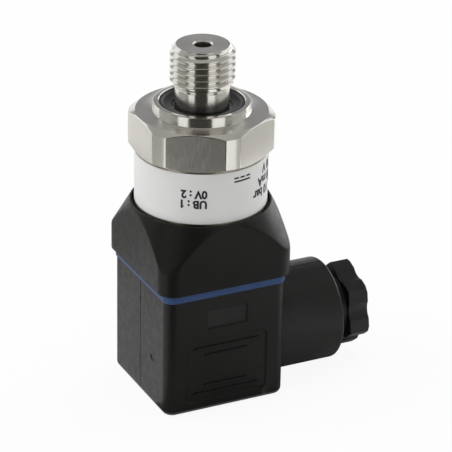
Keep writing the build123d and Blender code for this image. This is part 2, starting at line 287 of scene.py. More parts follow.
def join(piece, *others):
    """Joins finished shells into one piece."""
    bpy.ops.object.select_all(action='DESELECT')
    for each in (piece, *others):
        each.select_set(True)
    bpy.context.view_layer.objects.active = piece
    bpy.ops.object.join()
    return piece


def smooth(piece, angle, weighted=False):
    """Smooth shading, with edges sharper than the angle, in degrees, left crisp."""
    take(piece)
    bpy.ops.object.shade_smooth_by_angle(angle=math.radians(angle))
    if weighted:
        apply(piece, 'WEIGHTED_NORMAL', mode='FACE_AREA', keep_sharp=True, weight=60)


def new_finish(name, colour, roughness, metal=0.0, level=0.5):
    """Starts a material: the plain values go straight on the shader."""
    made = bpy.data.materials.new(name)
    made.use_nodes = True
    nodes, links = made.node_tree.nodes, made.node_tree.links
    shader = nodes["Principled BSDF"]
    shader.inputs["Base Color"].default_value = (*colour, 1)
    shader.inputs["Roughness"].default_value = roughness
    shader.inputs["Metallic"].default_value = metal
    shader.inputs["Specular IOR Level"].default_value = level
    place = nodes.new("ShaderNodeTexCoord").outputs["Object"]
    return made, nodes, links, shader, place


def noise(nodes, links, place, scale, detail=3.0, stretch=(1, 1, 1)):
    """Noise in the piece's own coordinates, with the scale given per metre."""
    mapping = nodes.new("ShaderNodeMapping")
    mapping.inputs["Scale"].default_value = stretch
    links.new(place, mapping.inputs["Vector"])
    grain = nodes.new("ShaderNodeTexNoise")
    grain.inputs["Scale"].default_value = scale
    grain.inputs["Detail"].default_value = detail
    links.new(mapping.outputs[0], grain.inputs["Vector"])
    return grain.outputs["Fac"]


def spread(nodes, links, source, low, high):
    """Turns noise, which mostly lies between 0.3 and 0.7, into values from low to high."""
    ranged = nodes.new("ShaderNodeMapRange")
    ranged.inputs["From Min"].default_value = 0.3
    ranged.inputs["From Max"].default_value = 0.7
    ranged.inputs["To Min"].default_value = low
    ranged.inputs["To Max"].default_value = high
    links.new(source, ranged.inputs["Value"])
    return ranged.outputs["Result"]


def blend_colours(nodes, links, source, first, second):
    """Goes from one colour to another as the source goes from 0 to 1."""
    ramp = nodes.new("ShaderNodeValToRGB")
    ramp.color_ramp.elements[0].position = 0.3
    ramp.color_ramp.elements[0].color = (*first, 1)
    ramp.color_ramp.elements[1].position = 0.7
    ramp.color_ramp.elements[1].color = (*second, 1)
    links.new(source, ramp.inputs["Fac"])
    return ramp.outputs["Color"]


def relief(nodes, links, shader, source, depth):
    """Bumps the surface by the source, to a depth in millimetres."""
    bump = nodes.new("ShaderNodeBump")
    bump.inputs["Strength"].default_value = 1.0
    bump.inputs["Distance"].default_value = depth * MM
    links.new(source, bump.inputs["Height"])
    links.new(bump.outputs["Normal"], shader.inputs["Normal"])


def turned_steel(name, colour, dark, roughness):
    """Stainless steel with the fine rings that a lathe tool leaves round the port's axis."""
    made, nodes, links, shader, place = new_finish(name, colour, roughness, metal=1.0)
    flat = nodes.new("ShaderNodeVectorMath")
    flat.operation = 'MULTIPLY'
    flat.inputs[1].default_value = (1, 1, 0)
    links.new(place, flat.inputs[0])
    radius = nodes.new("ShaderNodeVectorMath")
    radius.operation = 'LENGTH'
    links.new(flat.outputs[0], radius.inputs[0])
    split = nodes.new("ShaderNodeSeparateXYZ")
    links.new(place, split.inputs[0])
    path = nodes.new("ShaderNodeMath")
    path.operation = 'ADD'
    links.new(radius.outputs["Value"], path.inputs[0])
    links.new(split.outputs["Z"], path.inputs[1])
    rings = nodes.new("ShaderNodeTexNoise")
    rings.noise_dimensions = '1D'
    rings.inputs["Scale"].default_value = 14000
    rings.inputs["Detail"].default_value = 2.0
    links.new(path.outputs[0], rings.inputs["W"])
    stains = noise(nodes, links, place, 160, 4.0)
    links.new(blend_colours(nodes, links, stains, dark, colour), shader.inputs["Base Color"])
    links.new(spread(nodes, links, rings.outputs["Fac"], roughness - 0.04, roughness + 0.06),
              shader.inputs["Roughness"])
    shader.inputs["Anisotropic"].default_value = 0.8
    shader.inputs["Anisotropic Rotation"].default_value = 0.25
    relief(nodes, links, shader, rings.outputs["Fac"], 0.0004)
    return made


def milled_steel(name, colour, dark, roughness):
    """Stainless steel with the short straight scratches of a milled or drawn flat."""
    made, nodes, links, shader, place = new_finish(name, colour, roughness, metal=1.0)
    scratches = noise(nodes, links, place, 6500, 4.0, stretch=(1, 1, 0.08))
    links.new(blend_colours(nodes, links, noise(nodes, links, place, 220, 3.0), dark, colour),
              shader.inputs["Base Color"])
    links.new(spread(nodes, links, scratches, roughness - 0.06, roughness + 0.08), shader.inputs["Roughness"])
    relief(nodes, links, shader, scratches, 0.0010)
    return made


steel_turned = turned_steel("steel_turned", (0.80, 0.785, 0.74), (0.74, 0.725, 0.68), 0.19)
steel_milled = milled_steel("steel_milled", (0.86, 0.84, 0.785), (0.82, 0.80, 0.745), 0.42)

fitting = turn("pressure_fitting", [
    (0, SPIGOT_LOW), (SPIGOT_R, SPIGOT_LOW), (SPIGOT_R, HEX_LOW), (HEX_END, HEX_LOW),
    (HEX_CORNER, HEX_LOW + HEX_CHAMFER),
    (HEX_CORNER, HEX_TOP - HEX_CHAMFER), (HEX_END, HEX_TOP), (COLLAR_R + 0.35, HEX_TOP),
    (COLLAR_R + 0.1, HEX_TOP + 0.1), (COLLAR_R, HEX_TOP + 0.35), (COLLAR_R, COLLAR_TOP - 0.25),
    (COLLAR_R - 0.08, COLLAR_TOP - 0.06), (COLLAR_R - 0.25, COLLAR_TOP),
    (GROOVE_R + 0.18, COLLAR_TOP), (GROOVE_R, COLLAR_TOP - 0.18), (GROOVE_R, GROOVE_FLOOR),
    (NECK_R + 0.15, GROOVE_FLOOR), (NECK_R, GROOVE_FLOOR + 0.15), (NECK_R, NECK_TOP - 0.64),
    (NECK_R - 0.06, NECK_TOP - 0.58), (NECK_GROOVE_R, NECK_TOP - 0.57), (NECK_GROOVE_R, NECK_TOP - 0.3)],
    steps=144)
flat_ways = [Vector((math.cos(math.radians(HEX_FLAT_TURN + 60 * k)),
                     math.sin(math.radians(HEX_FLAT_TURN + 60 * k)), 0)) for k in range(6)]
mill(fitting, flat_ways, [HEX_HALF] * 6)
fitting.data.materials.append(steel_turned)
fitting.data.materials.append(steel_milled)
bpy.ops.object.mode_set(mode='EDIT')
pick(fitting, 'FACE', lambda middle, way: abs(way.z) < 0.01 and abs(middle.to_2d().length - HEX_HALF) < 0.4
     and HEX_LOW < middle.z < HEX_TOP and max(way.dot(each) for each in flat_ways) > 0.9999)
fitting.active_material_index = 1
bpy.ops.object.material_slot_assign()
bpy.ops.mesh.region_to_loop()
bpy.ops.mesh.bevel(offset=0.11 * MM, segments=2, affect='EDGES', clamp_overlap=True, material=0)
bpy.ops.object.mode_set(mode='OBJECT')

# the thread: one tooth screwed up the axis, then cut off to the lead chamfer and the run-out
flank = [(0, THREAD_ROOT), (0.10, THREAD_ROOT + 0.02), (0.19, THREAD_ROOT + 0.09), (0.50, THREAD_R - 0.11),
         (0.58, THREAD_R - 0.02)]
tooth = flank + [(THREAD_PITCH / 2, THREAD_R)]
tooth += [(THREAD_PITCH - rise, radius) for rise, radius in flank[::-1]]
thread = draw("stub_thread", [Vector((radius, 0, THREAD_START + rise)) * MM for rise, radius in tooth])
bpy.ops.object.mode_set(mode='OBJECT')
apply(thread, 'SCREW', axis='Z', angle=2 * math.pi, screw_offset=THREAD_PITCH * MM, iterations=8, steps=144,
      render_steps=144, use_merge_vertices=True, merge_threshold=0.001 * MM)
for corner in thread.data.vertices:
    place = corner.co
    radius = math.hypot(place.x, place.y)
    height = place.z / MM
    lead = STUB_END_R + (STUB_END - height) * (THREAD_R - STUB_END_R) / (STUB_END - THREAD_HIGH)
    run_out = NECK_R + (height - NECK_TOP) * (THREAD_R - NECK_R) / (THREAD_LOW - NECK_TOP)
    wanted = min(radius, max(lead, STUB_END_R) * MM, max(run_out, NECK_R - 0.14) * MM)
    place.x *= wanted / radius
    place.y *= wanted / radius
bpy.ops.object.mode_set(mode='EDIT')
bpy.ops.mesh.select_mode(type='VERT')
bpy.ops.mesh.select_all(action='SELECT')
bpy.ops.mesh.remove_doubles(threshold=0.01 * MM)
for cut_at, way in ((NECK_TOP - 0.1, -1), (STUB_END, 1)):
    bpy.ops.mesh.select_all(action='SELECT')
    bpy.ops.mesh.bisect(plane_co=(0, 0, cut_at * MM), plane_no=(0, 0, way), clear_outer=True,
                        threshold=0.0005 * MM)
bpy.ops.object.mode_set(mode='OBJECT')
thread.data.materials.append(steel_turned)


def open_rim(piece, low, high):
    """Selects the open edges of a piece in edit mode between two heights, in millimetres."""
    bpy.ops.mesh.select_mode(type='EDGE')
    bpy.ops.mesh.select_all(action='DESELECT')
    mesh = bmesh.from_edit_mesh(piece.data)
    for edge in mesh.edges:
        edge.select_set(edge.is_boundary and all(low < corner.co.z / MM < high for corner in edge.verts))
    bmesh.update_edit_mesh(piece.data)


# the neck and the thread are joined, and the stub's end face and the bore are drawn in from its rim
join(fitting, thread)
bpy.ops.object.mode_set(mode='EDIT')
open_rim(fitting, NECK_TOP - 0.35, NECK_TOP - 0.05)
bpy.ops.mesh.bridge_edge_loops()
open_rim(fitting, STUB_END - 0.01, STUB_END + 0.01)
for before, after, drop in ((STUB_END_R, STUB_END_R - 0.08, 0), (STUB_END_R - 0.08, BORE_R + BORE_BEVEL, 0),
                            (BORE_R + BORE_BEVEL, BORE_R, BORE_BEVEL),
                            (BORE_R, BORE_R, STUB_END - BORE_BEVEL - BORE_LOW)):
    bpy.ops.mesh.extrude_edges_move(TRANSFORM_OT_translate={"value": (0, 0, -drop * MM)})
    bpy.ops.transform.resize(value=(after / before, after / before, 1), center_override=(0, 0, 0))
bpy.ops.mesh.edge_face_add()
bpy.ops.mesh.select_all(action='SELECT')
bpy.ops.mesh.normals_make_consistent(inside=False)
bpy.ops.object.mode_set(mode='OBJECT')
smooth(fitting, 35)
bpy.ops.object.mode_set(mode='EDIT')
pick(fitting, 'EDGE', lambda middle, way: abs(way.z) < 0.01 and middle.to_2d().length > COLLAR_R + 1
     and min(abs(middle.z - HEX_TOP), abs(middle.z - HEX_LOW)) < 0.01)
bpy.ops.mesh.mark_sharp()
bpy.ops.object.mode_set(mode='OBJECT')


def place_piece(piece, body, slot, *nodes):
    """Says which body a finished piece rides on and which CAD nodes it stands for, which are hidden. The slot
    is not used.
    """
    if nodes:
        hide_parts(*nodes)
    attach(piece, body)


place_piece(fitting, "sensor", "stainless", "process_fitting")

# Profile sealing ring, moulded in black rubber and pressed into the groove inside the collar.
# Its outer edge is a raised lip, which the mating face presses flat, and its inner part lies lower.
RING_IN, RING_OUT, RING_LOW, LIP_TOP = 6.1, 8.5, 61.2, 62.8


def rubber(name, colour, roughness, level=0.35):
    """Moulded rubber: matt, with a fine even grain and a trace of bloom."""
    made, nodes, links, shader, place = new_finish(name, colour, roughness, level=level)
    bloom = noise(nodes, links, place, 420, 4.0)
    paler = tuple(min(1.0, part * 1.25 + 0.002) for part in colour)
    links.new(blend_colours(nodes, links, bloom, colour, paler), shader.inputs["Base Color"])
    grain = noise(nodes, links, place, 5200, 2.0)
    links.new(spread(nodes, links, grain, roughness - 0.05, roughness + 0.05), shader.inputs["Roughness"])
    relief(nodes, links, shader, grain, 0.006)
    return made


black_rubber = rubber("black_rubber", (0.007, 0.007, 0.0075), 0.34, level=0.5)
profile_ring = turn("profile_ring", [
    (RING_IN, RING_LOW), (RING_OUT, RING_LOW), (RING_OUT, LIP_TOP - 0.25), (RING_OUT - 0.06, LIP_TOP - 0.1),
    (RING_OUT - 0.2, LIP_TOP), (RING_OUT - 0.38, LIP_TOP), (RING_OUT - 0.5, LIP_TOP - 0.1),
    (RING_OUT - 0.6, LIP_TOP - 0.3), (RING_OUT - 0.76, LIP_TOP - 0.46), (RING_OUT - 1.0, LIP_TOP - 0.53),
    (RING_IN + 0.5, LIP_TOP - 0.56), (RING_IN + 0.24, LIP_TOP - 0.62), (RING_IN + 0.07, LIP_TOP - 0.78),
    (RING_IN, LIP_TOP - 1.0), (RING_IN, RING_LOW)], steps=144)
profile_ring.data.materials.append(black_rubber)
smooth(profile_ring, 50)
place_piece(profile_ring, "sensor", "seal_rubber", "seal_ring")

# Case tube and the measuring cell welded under the fitting. The tube is a plain drawn stainless one,
# of which the camera sees only a hair's width below the label; the cell is a ground steel cup.


def finish_node(name, material):
    """Gives a CAD node that keeps its shape a better material."""
    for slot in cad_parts[name].material_slots:
        slot.material = material


finish_node("case_tube", turned_steel("steel_drawn", (0.50, 0.47, 0.38), (0.40, 0.37, 0.29), 0.38))
finish_node("sensor_cell", turned_steel("steel_ground", (0.66, 0.65, 0.63), (0.60, 0.59, 0.57), 0.22))

# Type label: satin silver-white foil, printed and wrapped round the case with a small gap at the back.
# It reads upside down here. Only plain units, pin numbers and the direct-current sign are printed.
LABEL_IN, LABEL_OUT = 13.4, 13.5
LABEL_LOW, LABEL_HIGH = 41.8, 52.6
LABEL_SEAM = 4
PRINT_HIGH, PRINT_FACET = 0.03, 0.4
CAPITAL_SHARE, TYPE_NARROW = 0.7, 0.94
FLAG_LONG, FLAG_THICK, FLAG_BACK, FLAG_UP, FLAG_LEAN = 0.32, 0.12, 0.15, 0.82, 34
BAR_HALF, BARS_START = 0.17, -69.7


def label_foil_finish():
    """Satin silver-white foil: a slightly clouded ground with a fine grain."""
    made, nodes, links, shader, place = new_finish("satin_foil", (0.73, 0.73, 0.72), 0.42, level=0.45)
    cloud = noise(nodes, links, place, 130, 3.0)
    links.new(blend_colours(nodes, links, cloud, (0.71, 0.71, 0.70), (0.75, 0.75, 0.74)),
              shader.inputs["Base Color"])
    grain = noise(nodes, links, place, 3800, 3.0, stretch=(1, 1, 0.25))
    links.new(spread(nodes, links, grain, 0.36, 0.48), shader.inputs["Roughness"])
    relief(nodes, links, shader, grain, 0.002)
    return made


def ink_finish():
    """Black printing ink, a little worn."""
    made, nodes, links, shader, place = new_finish("black_ink", (0.022, 0.022, 0.025), 0.5, level=0.3)
    wear = noise(nodes, links, place, 1500, 4.0)
    links.new(blend_colours(nodes, links, wear, (0.016, 0.016, 0.018), (0.035, 0.035, 0.038)),
              shader.inputs["Base Color"])
    return made


type_label = draw("type_label", [Vector((radius, 0, level)) * MM for radius, level in (
    (LABEL_IN, LABEL_LOW), (LABEL_OUT, LABEL_LOW), (LABEL_OUT, LABEL_HIGH), (LABEL_IN, LABEL_HIGH))])
bpy.ops.mesh.edge_face_add()
bpy.ops.mesh.spin(steps=178, angle=math.radians(360 - LABEL_SEAM), center=(0, 0, 0), axis=(0, 0, 1))
bpy.ops.mesh.select_all(action='SELECT')
bpy.ops.mesh.remove_doubles(threshold=0.001 * MM)
bpy.ops.mesh.normals_make_consistent(inside=False)
bpy.ops.transform.rotate(value=-math.radians(90 + LABEL_SEAM / 2), orient_axis='Z', center_override=(0, 0, 0))
bpy.ops.object.mode_set(mode='OBJECT')
type_label.data.materials.append(label_foil_finish())
smooth(type_label, 35)


def wrap(piece, azimuth, height):
    """Bends flat print round the label, upside down, starting at an azimuth in degrees and a height."""
    take(piece)
    across = [corner.co.x for corner in piece.data.vertices]
    bpy.ops.object.mode_set(mode='EDIT')
    cut_at = min(across) + PRINT_FACET
    while cut_at < max(across):
        bpy.ops.mesh.select_all(action='SELECT')
        bpy.ops.mesh.bisect(plane_co=(cut_at, 0, 0), plane_no=(1, 0, 0))
        cut_at += PRINT_FACET
    bpy.ops.object.mode_set(mode='OBJECT')
    for corner in piece.data.vertices:
        turned = math.radians(azimuth) - corner.co.x / LABEL_OUT
        reach = LABEL_OUT + corner.co.z
        corner.co = Vector((reach * math.cos(turned), reach * math.sin(turned), height - corner.co.y)) * MM
    bpy.ops.object.mode_set(mode='EDIT')
    bpy.ops.mesh.select_all(action='SELECT')
    bpy.ops.mesh.remove_doubles(threshold=0.002 * MM)
    bpy.ops.mesh.normals_make_consistent(inside=False)
    bpy.ops.object.mode_set(mode='OBJECT')


def flat_words(words, tall, bold):
    """Lettering as a thin flat mesh, in millimetres, from the line's start."""
    bpy.ops.object.select_all(action='DESELECT')
    bpy.ops.object.text_add(location=(0, 0, 0))
    line = bpy.context.object
    line.data.body = words
    line.data.size = tall / CAPITAL_SHARE
    line.data.offset = bold
    line.data.extrude = PRINT_HIGH / 2
    line.data.resolution_u = 3
    bpy.ops.object.convert(target='MESH')
    return bpy.context.object


def print_line(words, tall, azimuth, height, bold):
    """One printed line, as a thin mesh on the label. Sizes are in millimetres until it is wrapped.
    The typeface draws its 1 as a bare stroke, so each one gets a flag at its head."""
    line = flat_words(words, tall, bold)
    for place in [at + 1 for at, sign in enumerate(words) if sign == "1"]:
        start = flat_words(words[:place], tall, bold)
        stroke = max(corner.co.x for corner in start.data.vertices) - 0.07 * tall - bold
        bpy.data.objects.remove(start)
        bpy.ops.object.select_all(action='DESELECT')
        bpy.ops.mesh.primitive_cube_add(size=1, location=(stroke - FLAG_BACK * tall, FLAG_UP * tall, 0))
        flag = bpy.context.object
        flag.scale = (FLAG_LONG * tall, FLAG_THICK * tall, 0.9 * PRINT_HIGH)
        flag.rotation_euler = (0, 0, math.radians(FLAG_LEAN))
        bpy.ops.object.transform_apply(location=True, rotation=True, scale=True)
        line = join(line, flag)
    for corner in line.data.vertices:
        corner.co.x *= TYPE_NARROW
        corner.co.z += PRINT_HIGH / 2
    wrap(line, azimuth, height)
    return line


def print_bar(start, end, height):
    """One bar of the direct-current sign, as a thin mesh on the label."""
    bpy.ops.object.select_all(action='DESELECT')
    bpy.ops.mesh.primitive_cube_add(size=1, location=((start + end) / 2, 0, PRINT_HIGH / 2))
    bar = bpy.context.object
    bar.scale = (end - start, 2 * BAR_HALF, PRINT_HIGH)
    bpy.ops.object.transform_apply(location=True, rotation=True, scale=True)
    wrap(bar, BARS_START, height)
    return bar


marks = [
    print_line("UB : 1", 1.65, -110.0, 46.9, 0.10),
    print_line("0V : 2", 1.65, -110.0, 49.05, 0.10),
    print_line("0 ... 10 bar", 1.85, -19.1, 46.7, 0.09),
    print_line("4 ... 20 mA", 1.85, -11.6, 49.05, 0.09),
    print_line("10 ... 30 V", 1.85, -7.7, 51.6, 0.09),
    print_bar(0, 3.9, 50.35),
    print_bar(0, 1.05, 51.1),
    print_bar(1.42, 2.47, 51.1),
    print_bar(2.85, 3.9, 51.1),
]
label_print = join(*marks)
label_print.name = "label_print"
label_print.data.materials.clear()
label_print.data.materials.append(ink_finish())
place_piece(type_label, "sensor", "label_foil", "label")
place_piece(label_print, "sensor", "label_foil")

# Amplifier board: green glass-fibre laminate, upright in the hub of the base, with moulded components.
# It is closed in by the case tube.


def board_finish():
    """Green lacquered laminate with the weave of the glass cloth."""
    made, nodes, links, shader, place = new_finish("green_laminate", (0.02, 0.10, 0.035), 0.35)
    weave = nodes.new("ShaderNodeTexChecker")
    weave.inputs["Scale"].default_value = 2600
    links.new(place, weave.inputs["Vector"])
    weave.inputs["Color1"].default_value = (0.018, 0.095, 0.033, 1)
    weave.inputs["Color2"].default_value = (0.024, 0.115, 0.04, 1)
    links.new(weave.outputs["Color"], shader.inputs["Base Color"])
    relief(nodes, links, shader, weave.outputs["Fac"], 0.004)
    return made


finish_node("circuit_board", board_finish())
finish_node("board_components", rubber("moulded_component", (0.02, 0.02, 0.022), 0.45))
finish_node("case_seal", black_rubber)

# Connector base: one black glass-filled nylon moulding, a square column cut by a cone up to the case,
# with softened creases where they meet. A square pad below fits the gasket's window and carries the blades.
BASE_LOW, BASE_TOP, BASE_HALF, BASE_CORNER = 27.8, 41.5, 14.6, 3.6
BLANK_R, BLANK_STEPS = 22.0, 44
RIM_R, RIM_IN_R, CONE_SLOPE, CREASE_SOFT = 14.4, 14.05, 0.577, 0.32
SOCKET_R, SOCKET_TOP, SOCKET_LOW = 13.45, 40.5, 37.4
HOLLOW_R, HOLLOW_LOW, HUB_R, HUB_TOP = 11.9, 31.5, 3.9, 36.0
PAD_HALF, PAD_LOW, BUSH_HOLE_R = 10.1, 26.3, 2.5


def black_nylon(name, colour, roughness, level):
    """Nylon from a spark-eroded mould: even black with a fine grain, a little uneven in gloss."""
    made, nodes, links, shader, place = new_finish(name, colour, roughness, level=level)
    flow = noise(nodes, links, place, 90, 5.0)
    paler = tuple(part * 1.3 + 0.001 for part in colour)
    links.new(blend_colours(nodes, links, flow, colour, paler), shader.inputs["Base Color"])
    grain = noise(nodes, links, place, 4200, 3.0)
    links.new(spread(nodes, links, noise(nodes, links, place, 700, 4.0), roughness - 0.05, roughness + 0.06),
              shader.inputs["Roughness"])
    relief(nodes, links, shader, grain, 0.010)
    return made


nylon = black_nylon("base_nylon", (0.0064, 0.0063, 0.0058), 0.38, 0.20)

levels = [BASE_LOW + (BASE_TOP - BASE_LOW) * step / BLANK_STEPS for step in range(BLANK_STEPS + 1)]
base = turn("base", [(0, BASE_LOW)] + [(BLANK_R, level) for level in levels] + [
    (RIM_IN_R, BASE_TOP), (RIM_IN_R, SOCKET_TOP), (SOCKET_R, SOCKET_TOP), (SOCKET_R, SOCKET_LOW),
    (HOLLOW_R, SOCKET_LOW), (HOLLOW_R, HOLLOW_LOW), (HUB_R, HOLLOW_LOW), (HUB_R, HUB_TOP), (0, HUB_TOP)],
    steps=320)


def softly_less(first, second, soft):
    """The smaller of two lengths, rounded off where they are nearly equal."""
    share = max(0.0, min(1.0, 0.5 + 0.5 * (second - first) / soft))
    return second + (first - second) * share - soft * share * (1 - share)


# the round blank's wall is drawn in to the square column or to the cone, whichever is nearer to the axis
for corner in base.data.vertices:
    place = corner.co
    radius = math.hypot(place.x, place.y)
    if radius < (BLANK_R - 0.1) * MM:
        continue
    turned = math.atan2(place.y, place.x)
    across, along = sorted((abs(math.cos(turned)), abs(math.sin(turned))))
    reach = BASE_HALF / along
    corner_at = BASE_HALF - BASE_CORNER
    if reach * across > corner_at:
        middle = corner_at * (along + across)
        reach = middle + math.sqrt(middle * middle - 2 * corner_at * corner_at + BASE_CORNER * BASE_CORNER)
    cone = RIM_R + (BASE_TOP - place.z / MM) * CONE_SLOPE
    wanted = softly_less(reach, cone, CREASE_SOFT)
    place.x *= wanted * MM / radius
    place.y *= wanted * MM / radius


def block(name, low, high):
    """A cube between two corners, in millimetres, with its place put into its mesh."""
    bpy.ops.object.select_all(action='DESELECT')
    bpy.ops.mesh.primitive_cube_add(size=1, location=[(a + b) / 2 * MM for a, b in zip(low, high)])
    piece = bpy.context.object
    piece.name = name
    piece.scale = [(b - a) * MM for a, b in zip(low, high)]
    bpy.ops.object.transform_apply(location=True, rotation=True, scale=True)
    return piece


def round_edges(piece, wanted, width, segments):
    """Bevels the edges that the test picks."""
    take(piece)
    bpy.ops.object.mode_set(mode='EDIT')
    pick(piece, 'EDGE', wanted)
    bpy.ops.mesh.bevel(offset=width * MM, segments=segments, affect='EDGES', clamp_overlap=True)
    bpy.ops.object.mode_set(mode='OBJECT')


def carve(piece, tool, how='DIFFERENCE'):
    """Cuts another shape out of a piece, or melts it on with how='UNION', and clears that shape away."""
    apply(piece, 'BOOLEAN', object=tool, operation=how, solver='EXACT')
    bpy.data.objects.remove(tool)


pad = block("pad", (-PAD_HALF, -PAD_HALF, PAD_LOW), (PAD_HALF, PAD_HALF, BASE_LOW + 0.5))
round_edges(pad, lambda middle, way: abs(way.z) > 0.9, 1.0, 5)
round_edges(pad, lambda middle, way: middle.z < PAD_LOW + 0.01, 0.2, 2)
carve(base, pad, 'UNION')
carve(base, turn("bush_hole", [(0, 26.0), (BUSH_HOLE_R, 26.0), (BUSH_HOLE_R, 33.0), (0, 33.0), (0, 26.0)],
                 steps=64))
base.data.materials.append(nylon)
smooth(base, 32)
place_piece(base, "sensor", "black_plastic", "connector_base")

# Flat blades and the threaded bush, moulded into the base. The three blades and the earth blade are
# tinned brass strip, and the bush for the long screw is turned brass.


def strip_metal(name, colour, dark, roughness):
    """Rolled or plated strip: fine straight lines along it, a little darker where it was handled."""
    made, nodes, links, shader, place = new_finish(name, colour, roughness, metal=1.0)
    lines = noise(nodes, links, place, 2600, 3.0, stretch=(1, 1, 0.06))
    links.new(blend_colours(nodes, links, noise(nodes, links, place, 260, 4.0), dark, colour),
              shader.inputs["Base Color"])
    links.new(spread(nodes, links, lines, roughness - 0.06, roughness + 0.08), shader.inputs["Roughness"])
    relief(nodes, links, shader, lines, 0.003)
    return made


tinned_strip = strip_metal("tinned_strip", (0.66, 0.65, 0.61), (0.55, 0.54, 0.50), 0.30)
for node in ("blade_1", "blade_2", "blade_3", "blade_earth", "terminal_1", "terminal_2", "terminal_3",
             "terminal_earth"):
    finish_node(node, tinned_strip)
finish_node("screw_bush", turned_steel("turned_brass", (0.72, 0.52, 0.22), (0.60, 0.42, 0.17), 0.28))

# Flat gasket between the base and the plug: blue silicone rubber, punched and moulded with a square window.
# It stands a little out past the plug all round.
GASKET_LOW, GASKET_HIGH, GASKET_HALF, GASKET_CORNER = 25.8, 27.8, 13.6, 2.3
WINDOW_HALF, WINDOW_CORNER = 10.5, 1.0

gasket = block("gasket", (-GASKET_HALF, -GASKET_HALF, GASKET_LOW), (GASKET_HALF, GASKET_HALF, GASKET_HIGH))
round_edges(gasket, lambda middle, way: abs(way.z) > 0.9, GASKET_CORNER, 8)
window = block("window", (-WINDOW_HALF, -WINDOW_HALF, GASKET_LOW - 1),
               (WINDOW_HALF, WINDOW_HALF, GASKET_HIGH + 1))
round_edges(window, lambda middle, way: abs(way.z) > 0.9, WINDOW_CORNER, 5)
carve(gasket, window)
round_edges(gasket, lambda middle, way: abs(way.z) < 0.1, 0.16, 3)
gasket.data.materials.append(rubber("blue_silicone", (0.024, 0.054, 0.148), 0.50, level=0.28))
smooth(gasket, 40)
place_piece(gasket, "plug", "blue_rubber", "flat_gasket")

# Plug housing: one black nylon moulding, a square cup with the gland's barrel on one side and a post
# for the long screw inside. The front carries a small sunk panel and a framed one with moulded ribs.
PLUG_HALF, PLUG_HIGH, PLUG_CORNER, FOOT_ROUND = 13.4, 25.8, 2.3, 1.2
WALL, FLOOR_HIGH = 1.8, 5.0
BARREL_R, BARREL_END, BARREL_ROUND = 10.8, 28.6, 0.6
SCREW_WAY_R, HEAD_RECESS_R, HEAD_RECESS_HIGH, POST_R, POST_HIGH = 1.7, 3.6, 3.6, 3.4, 13.95
GLAND_BORE_R, GLAND_SEAT, WIRE_BORE_R = 8.05, 15.2, 5.2
PANEL_DEEP, PANEL_LEAN = 0.3, 0.22
SMALL_PANEL_WIDE, SMALL_PANEL_TALL, SMALL_PANEL_AT = 9.0, 4.2, 20.7
RIB_HALF, LONG_RIB, SHORT_RIB = 0.19, 14.6, 9.6
SEAM_HALF = 0.07

housing = block("housing", (-PLUG_HALF, -PLUG_HALF, 0), (PLUG_HALF, PLUG_HALF, PLUG_HIGH))
round_edges(housing, lambda middle, way: abs(way.z) > 0.9, PLUG_CORNER, 10)
round_edges(housing, lambda middle, way: middle.z < 0.01, FOOT_ROUND, 5)
bpy.ops.object.mode_set(mode='EDIT')
pick(housing, 'FACE', lambda middle, way: way.z > 0.9 and middle.z > PLUG_HIGH - 0.1)
bpy.ops.mesh.inset(thickness=WALL * MM)
bpy.ops.mesh.extrude_region_move(TRANSFORM_OT_translate={"value": (0, 0, (FLOOR_HIGH - PLUG_HIGH) * MM)})
bpy.ops.object.mode_set(mode='OBJECT')
round_edges(housing, lambda middle, way: abs(middle.z - PLUG_HIGH) < 0.01 and abs(way.z) < 0.1
            and max(abs(middle.x), abs(middle.y)) > PLUG_HALF - 1.0, 0.14, 2)
barrel = turn("barrel", [
    (0, 12.4), (BARREL_R, 12.4), (BARREL_R, BARREL_END - BARREL_ROUND), (BARREL_R - 0.045, BARREL_END - 0.37),
    (BARREL_R - 0.175, BARREL_END - 0.175), (BARREL_R - 0.37, BARREL_END - 0.045),
    (BARREL_R - BARREL_ROUND, BARREL_END), (0, BARREL_END)], steps=160, along='X', height=BARREL_R)
carve(housing, barrel, 'UNION')
carve(housing, turn("post", [(0, FLOOR_HIGH - 0.5), (POST_R, FLOOR_HIGH - 0.5), (POST_R, POST_HIGH - 0.2),
                             (POST_R - 0.2, POST_HIGH), (0, POST_HIGH)], steps=64), 'UNION')
carve(housing, turn("gland_bore", [(0, 10.5), (WIRE_BORE_R, 10.5), (WIRE_BORE_R, GLAND_SEAT),
                                   (GLAND_BORE_R, GLAND_SEAT), (GLAND_BORE_R, BARREL_END - 0.5),
                                   (GLAND_BORE_R + 0.5, BARREL_END), (GLAND_BORE_R + 0.5, 30), (0, 30)],
                    steps=128, along='X', height=BARREL_R))
carve(housing, turn("screw_way", [(0, -1), (HEAD_RECESS_R + 0.2, -1), (HEAD_RECESS_R + 0.2, 0),
                                  (HEAD_RECESS_R, 0.2), (HEAD_RECESS_R, HEAD_RECESS_HIGH),
                                  (SCREW_WAY_R, HEAD_RECESS_HIGH), (SCREW_WAY_R, 15), (0, 15)], steps=64))


def sunk_panel(wide, tall, level, corner):
    """Cuts a shallow panel with leaning sides into the front of the plug."""
    tool = block("panel_tool", (-wide / 2, -PLUG_HALF - 0.4, level - tall / 2),
                 (wide / 2, -PLUG_HALF + PANEL_DEEP, level + tall / 2))
    round_edges(tool, lambda middle, way: abs(way.y) > 0.9, corner, 6)
    round_edges(tool, lambda middle, way: middle.y > -PLUG_HALF + PANEL_DEEP - 0.01, PANEL_LEAN, 1)
    carve(housing, tool)


def panel_rib(wide, level):
    """Melts one low rib onto the floor of the framed panel."""
    tool = block("rib_tool", (-wide / 2, -PLUG_HALF, level - RIB_HALF),
                 (wide / 2, -PLUG_HALF + 0.5, level + RIB_HALF))
    round_edges(tool, lambda middle, way: middle.y < -PLUG_HALF + 0.01, 0.09, 1)
    carve(housing, tool, 'UNION')


